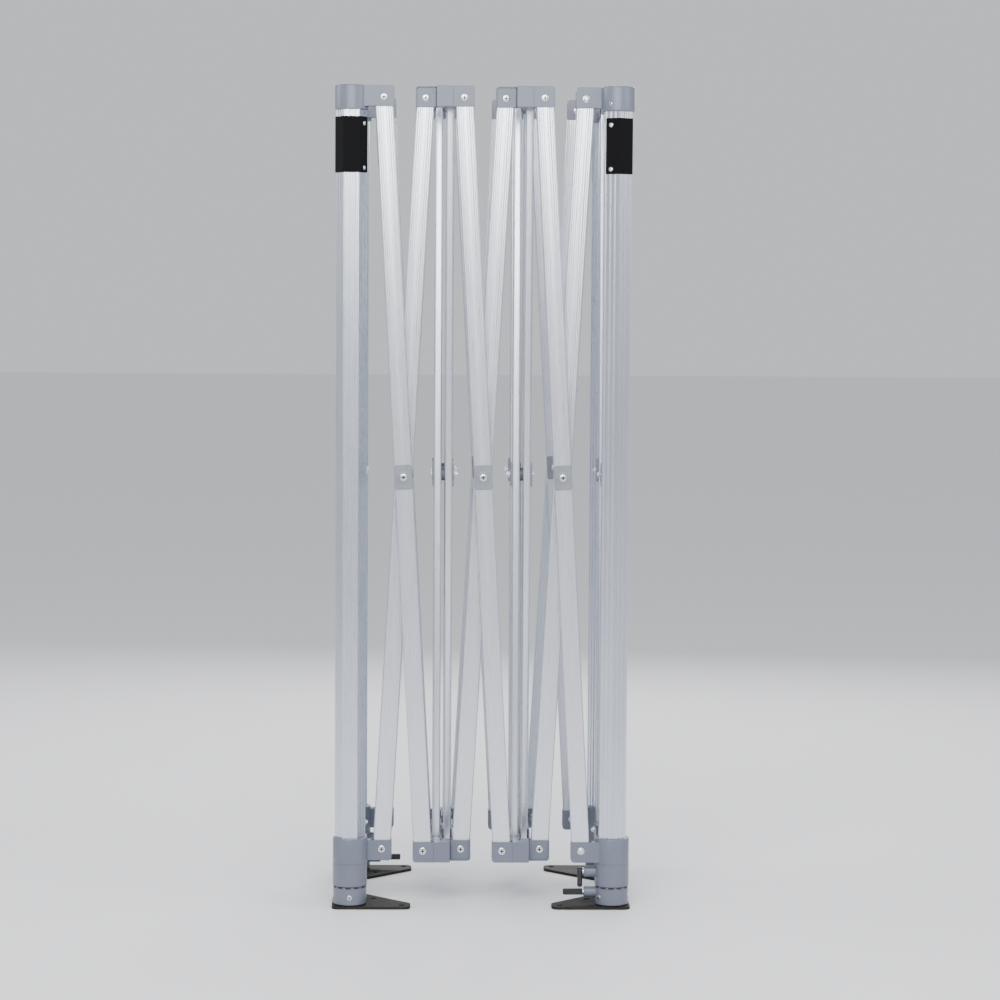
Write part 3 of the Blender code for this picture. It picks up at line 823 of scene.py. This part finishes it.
def foot_plate(thickness=0.005):
    """The triangular plate with its peg holes, as a filled flat curve made into a mesh."""
    heel, reach, tip, peg, diagonal = PLATE_HEEL, 0.115, 0.038, 0.016, 0.044
    corners = [(-heel, -heel), (reach, -heel), (reach, tip - heel), (tip - heel, reach), (-heel, reach)]
    outlines = [rounded(corners, [0.013] * 5, 9)]
    angle = np.linspace(0, 2 * np.pi, 28, endpoint=False)
    for x, y in ((reach - peg, peg - heel), (peg - heel, reach - peg), (diagonal, diagonal)):
        outlines.append(np.column_stack([x + 0.0055 * np.cos(angle), y + 0.0055 * np.sin(angle)]))
    curve = bpy.data.curves.new("foot outline", "CURVE")
    curve.dimensions, curve.fill_mode = "2D", "BOTH"
    edge = 0.0006
    curve.extrude, curve.bevel_depth, curve.offset = thickness / 2 - edge, edge, -edge
    for outline in outlines:
        spline = curve.splines.new("POLY")
        spline.points.add(len(outline) - 1)
        flat = np.column_stack([outline, np.zeros(len(outline)), np.ones(len(outline))])
        spline.points.foreach_set("co", flat.ravel())
        spline.use_cyclic_u = True
    guide = bpy.data.objects.new("foot outline", curve)
    bpy.context.scene.collection.objects.link(guide)
    mesh = bpy.data.meshes.new_from_object(guide.evaluated_get(bpy.context.evaluated_depsgraph_get()))
    bpy.data.objects.remove(guide)
    points = np.empty(len(mesh.vertices) * 3)
    mesh.vertices.foreach_get("co", points)
    faces = [tuple(polygon.vertices) for polygon in mesh.polygons]
    return moved((points.reshape(-1, 3), faces), shift(0, 0, thickness / 2))


FOOT = foot_plate()
inner_top = float(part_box("front_left_inner_leg")[1][2])
inner_flats = LEG_FLATS - 0.005
inner_leg = tube(hexagon(inner_flats, 6), hexagon(inner_flats - 0.004, 6), 0.004, inner_top)
socket = sleeve([(0.0262, 0.0045), (0.0262, 0.0049), (0.0254, 0.0056)], inner_flats)
print("foot plate faces:", len(FOOT[1]))

# %% Put the four corners together
for corner, (degrees, at) in CORNERS.items():
    stand = shift(*at) @ turn("Z", degrees)
    upper, lower = stand @ shift(0, 0, upper_pivot), stand @ shift(0, 0, lower_pivot)
    leg, slider, inner = f"{corner}_leg", f"{corner}_slider", f"{corner}_inner_leg"
    piece(f"{corner}_cap_moulding", [moved(cap_shape, upper)], casting, leg, [f"{corner}_cap"])
    piece(f"{corner}_cap_fixings", [moved(cap_fixings, upper)], zinc, leg)
    # Painted shade: dark cross inlays on the cap's screws, the collar's screws and its ring, and the
    # slider's screws.
    piece(f"{corner}_cap_recess", [moved(cap_crosses, upper)], painted_shade, leg)
    piece(f"{leg}_recess", [moved(collar_crosses, stand)], painted_shade, leg)
    piece(f"{slider}_recess", [moved(slider_crosses, lower)], painted_shade, slider)
    piece(f"{leg}_tube", [moved(outer_leg, stand)], leg_metal, leg, [leg], 20)
    piece(f"{leg}_collar", [moved(collar_shape, stand)], casting, leg)
    piece(f"{leg}_collar_fixings", [moved(collar_fixings, stand)], zinc, leg)
    collar_lever = moved(moved(collar_grip, collar_boss_at), stand)
    piece(f"{leg}_collar_lever", [collar_lever], grip_black, leg)
    piece(f"{leg}_tape", [moved(wrap, stand)], tape, leg)
    piece(f"{leg}_tape_rivets", [moved(tape_rivets, stand)], zinc, leg)
    piece(f"{slider}_moulding", [moved(slider_shape, lower)], casting, slider, [slider])
    piece(f"{slider}_fixings", [moved(slider_fixings, lower)], zinc, slider)
    piece(f"{slider}_lever", [moved(moved(slider_grip, boss_at), lower)], grip_black, slider)
    piece(f"{inner}_plate", [moved(FOOT, stand)], foot_coat, inner, [inner])
    piece(f"{inner}_tube", [moved(inner_leg, stand)], inner_metal, inner)
    piece(f"{inner}_weld", [moved(socket, stand)], foot_coat, inner)

# %% [markdown]
# ## Studio
# Tall softboxes stand round the frame with their lower edges above its middle. A smooth tube mirrors what
# lies at its own height, so it's brightest at the top.
# The floor and the room are plain and pale for every ray alike.

# %% Floor and room
floor_mesh = bpy.data.meshes.new("floor")
half, drop = 40.0, -0.0005
floor_mesh.from_pydata(
    [(-half, -half, drop), (half, -half, drop), (half, half, drop), (-half, half, drop)], [], [(0, 1, 2, 3)]
)
floor = bpy.data.objects.new("floor", floor_mesh)
bpy.context.scene.collection.objects.link(floor)
floor_finish = Finish("pale floor", metallic=0.0)
floor_finish.shader.inputs["Base Color"].default_value = (0.86, 0.86, 0.87, 1)
floor_finish.shader.inputs["Roughness"].default_value = 0.9
floor_mesh.materials.append(floor_finish.material)

world = bpy.data.worlds.new("studio")
world.use_nodes = True
room = world.node_tree.nodes["Background"]
room.inputs["Color"].default_value = (0.93, 0.95, 1.0, 1)
room.inputs["Strength"].default_value = 0.75
bpy.context.scene.world = world


# %% Softboxes


def softbox(name, power, width, height, position, target=(0, 0, 1.25), colour=(1, 1, 1)):
    lamp = bpy.data.lights.new(name, "AREA")
    lamp.energy, lamp.color = power, colour
    lamp.shape, lamp.size, lamp.size_y = "RECTANGLE", width, height
    made = bpy.data.objects.new(name, lamp)
    z = np.array(position, float) - np.array(target, float)
    z /= np.linalg.norm(z)
    x = np.cross([0, 0, 1.0], z)
    x /= np.linalg.norm(x)
    at = np.eye(4)
    at[:3, :3] = np.column_stack([x, np.cross(z, x), z])
    at[:3, 3] = position
    made.matrix_world = at.T.tolist()
    bpy.context.scene.collection.objects.link(made)


softbox("front", 132, 2.6, 1.7, (-0.4, -3.2, 2.45), (0, 0, 1.5))
softbox("back", 105, 2.6, 1.7, (0.4, 3.2, 2.45), (0, 0, 1.5))
softbox("left", 34, 1.6, 1.5, (-3.2, 0.6, 2.5), colour=(0.95, 0.97, 1.0))
softbox("right", 34, 1.6, 1.5, (2.9, -1.6, 2.5), colour=(0.95, 0.97, 1.0))
softbox("overhead", 10, 1.2, 1.2, (0.05, -0.3, 3.5))

# %% Camera
CAMERA_AT = (-0.1035, -5.682, 1.149)
YAW, PITCH, ROLL = np.radians([-1.41, -3.885, 0.354])
LENS = 105.4
ahead = np.array([-np.sin(YAW) * np.cos(PITCH), np.cos(YAW) * np.cos(PITCH), np.sin(PITCH)])
level = np.array([np.cos(YAW), np.sin(YAW), 0.0])
overhead = np.cross(level, ahead)
right = np.cos(ROLL) * level + np.sin(ROLL) * overhead
up = np.cross(right, ahead)
lens = bpy.data.cameras.new("camera")
lens.lens, lens.sensor_width = LENS, 36
camera = bpy.data.objects.new("camera", lens)
bpy.context.scene.collection.objects.link(camera)
pose = np.eye(4)
pose[:3, :3] = np.column_stack([right, up, -ahead])
pose[:3, 3] = CAMERA_AT
camera.matrix_world = pose.T.tolist()
bpy.context.scene.camera = camera

# %% Bring the scene up to date
bpy.context.view_layer.update()
